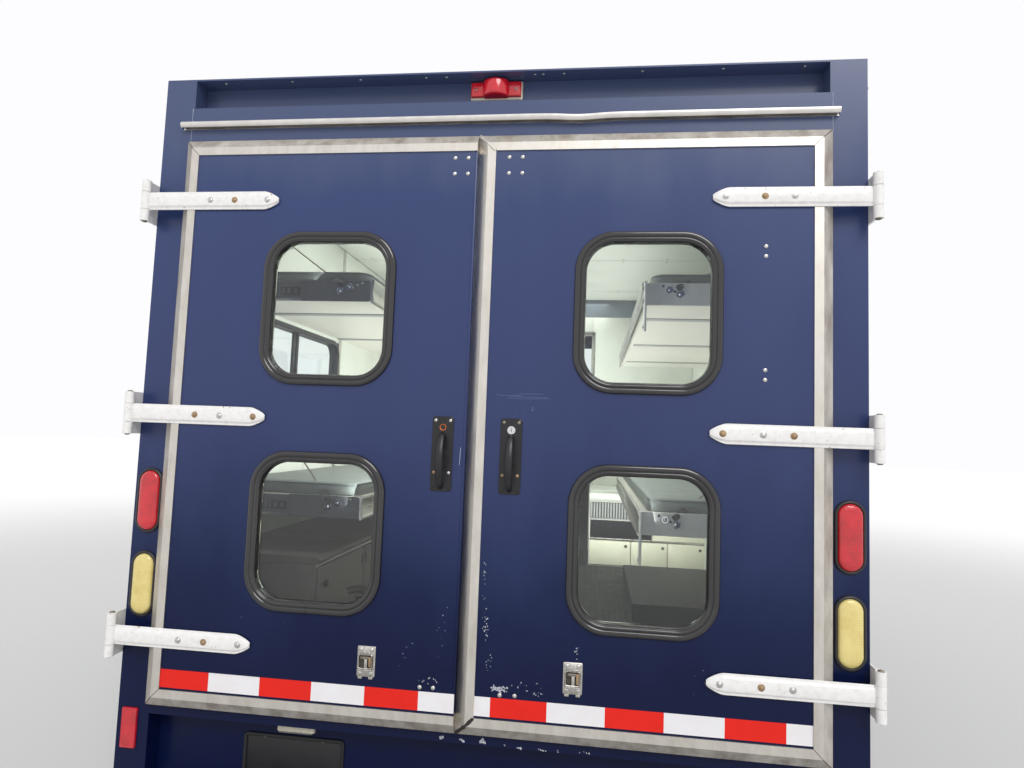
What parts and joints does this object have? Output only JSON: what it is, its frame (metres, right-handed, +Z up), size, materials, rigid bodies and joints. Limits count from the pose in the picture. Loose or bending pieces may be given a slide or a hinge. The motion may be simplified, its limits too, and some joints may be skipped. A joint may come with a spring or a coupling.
{
  "type": "ambulance on a walk-in van body",
  "caption": "Slab-sided navy ambulance on a walk-in van body, with hinged rear doors, sliding cab doors, a hinged hood, steered front wheels and twin rear wheels.",
  "frame": {"origin": "on the ground under the middle of the vehicle's box", "axes": "+X to the vehicle's right, +Y towards its front, +Z up"},
  "size_m": [2.56, 6, 2.713],
  "materials": {
    "navy_enamel": "gloss enamel, chipped",
    "satin_aluminium": "worn satin",
    "worn_white_paint": "worn paint over galvanised steel",
    "black_rubber": "matt",
    "clear_glass": "clear",
    "black_enamel": "satin",
    "chassis_black": "satin, road film",
    "red_lens": "moulded",
    "amber_lens": "moulded",
    "clear_lens": "moulded",
    "tyre_rubber": "matt",
    "white_wheel_paint": "gloss",
    "cream_laminate": "laminate",
    "grey_liner": "satin liner",
    "floor_sheet": "vinyl sheet",
    "seat_vinyl": "vinyl",
    "cast_steel": "oily",
    "galvanised_tread": "worn"
  },
  "bodies": {
    "van": {"rear_frame": "navy_enamel", "side_wall_left": "navy_enamel", "side_wall_right": "navy_enamel", "roof": "navy_enamel", "cab_front": "navy_enamel", "windscreen": "clear_glass", "side_windows": "clear_glass", "grille": "black_enamel", "headlamps": "clear_lens", "lamp_grommets": "black_rubber", "stop_lamps": "red_lens", "turn_lamps": "amber_lens", "rear_markers": "red_lens", "licence_plate": "black_enamel", "hinge_brackets": "worn_white_paint", "chassis_frame": "chassis_black", "leaf_springs": "chassis_black", "front_axle": "chassis_black", "rear_axle": "chassis_black", "fuel_tank": "chassis_black", "exhaust": "cast_steel", "engine_block": "cast_steel", "floor": "floor_sheet", "bulkhead": "grey_liner", "cabinets": "cream_laminate", "dashboard": "black_enamel", "steering_wheel": "black_rubber", "seats": "seat_vinyl", "front_bumper": "black_enamel", "rear_bumper": "galvanised_tread", "mirrors": "black_enamel", "light_bar": "red_lens"},
    "rear_door_left": {"rear_door_left_panel": "navy_enamel", "rear_door_left_trim": "satin_aluminium", "rear_door_left_gaskets": "black_rubber", "rear_door_left_glass": "clear_glass", "rear_door_left_straps": "worn_white_paint", "rear_door_left_fittings": "black_enamel"},
    "rear_door_right": {"rear_door_right_panel": "navy_enamel", "rear_door_right_trim": "satin_aluminium", "rear_door_right_gaskets": "black_rubber", "rear_door_right_glass": "clear_glass", "rear_door_right_straps": "worn_white_paint", "rear_door_right_fittings": "black_enamel"},
    "cab_door_left": {"cab_door_left": "navy_enamel", "cab_door_left_glass": "clear_glass"},
    "cab_door_right": {"cab_door_right": "navy_enamel", "cab_door_right_glass": "clear_glass"},
    "hood": {"hood": "navy_enamel"},
    "knuckle_left": {"knuckle_left": "chassis_black"},
    "knuckle_right": {"knuckle_right": "chassis_black"},
    "tie_rod": {"tie_rod": "chassis_black"},
    "wheel_front_left": {"wheel_front_left_tyre": "tyre_rubber", "wheel_front_left_rim": "white_wheel_paint"},
    "wheel_rear_left": {"wheel_rear_left_tyre": "tyre_rubber", "wheel_rear_left_rim": "white_wheel_paint"},
    "wheel_front_right": {"wheel_front_right_tyre": "tyre_rubber", "wheel_front_right_rim": "white_wheel_paint"},
    "wheel_rear_right": {"wheel_rear_right_tyre": "tyre_rubber", "wheel_rear_right_rim": "white_wheel_paint"}
  },
  "joints": [
    {"name": "rear_door_left_hinge", "type": "hinge", "parent": "van", "child": "rear_door_left", "pos_m": [-1.05, -2.818, 1.543], "axis": [0, 0, -1], "range_deg": [0, 250]},
    {"name": "rear_door_right_hinge", "type": "hinge", "parent": "van", "child": "rear_door_right", "pos_m": [1.05, -2.818, 1.543], "axis": [0, 0, 1], "range_deg": [0, 250]},
    {"name": "cab_door_left_slide", "type": "slide", "parent": "van", "child": "cab_door_left", "axis": [0, -1, 0], "range_m": [0, 0.69]},
    {"name": "cab_door_right_slide", "type": "slide", "parent": "van", "child": "cab_door_right", "axis": [0, -1, 0], "range_m": [0, 0.69]},
    {"name": "hood_hinge", "type": "hinge", "parent": "van", "child": "hood", "pos_m": [0, 2.406, 1.41765], "axis": [1, 0, 0], "range_deg": [0, 60]},
    {"name": "steer_left", "type": "hinge", "parent": "van", "child": "knuckle_left", "pos_m": [-0.78, 2.111, 0.372], "axis": [0, 0, 1], "range_deg": [-32, 32]},
    {"name": "steer_right", "type": "hinge", "parent": "van", "child": "knuckle_right", "pos_m": [0.78, 2.111, 0.372], "axis": [0, 0, 1], "range_deg": [-32, 32]},
    {"name": "tie_rod_pin", "type": "hinge", "parent": "knuckle_left", "child": "tie_rod", "pos_m": [-0.78, 1.941, 0.2907], "axis": [0, 0, 1], "range_deg": [-32, 32]},
    {"name": "wheel_front_left_spin", "type": "hinge", "parent": "knuckle_left", "child": "wheel_front_left", "pos_m": [-0.89, 2.111, 0.372], "axis": [1, 0, 0], "continuous": true},
    {"name": "wheel_rear_left_spin", "type": "hinge", "parent": "van", "child": "wheel_rear_left", "pos_m": [-0.768, -1.267, 0.372], "axis": [1, 0, 0], "continuous": true},
    {"name": "wheel_front_right_spin", "type": "hinge", "parent": "knuckle_right", "child": "wheel_front_right", "pos_m": [0.89, 2.111, 0.372], "axis": [1, 0, 0], "continuous": true},
    {"name": "wheel_rear_right_spin", "type": "hinge", "parent": "van", "child": "wheel_rear_right", "pos_m": [0.768, -1.267, 0.372], "axis": [1, 0, 0], "continuous": true}
  ],
  "couplings": [
    {"joint": "steer_right", "follows": "steer_left", "ratio": 1},
    {"joint": "tie_rod_pin", "follows": "steer_left", "ratio": -1}
  ]
}
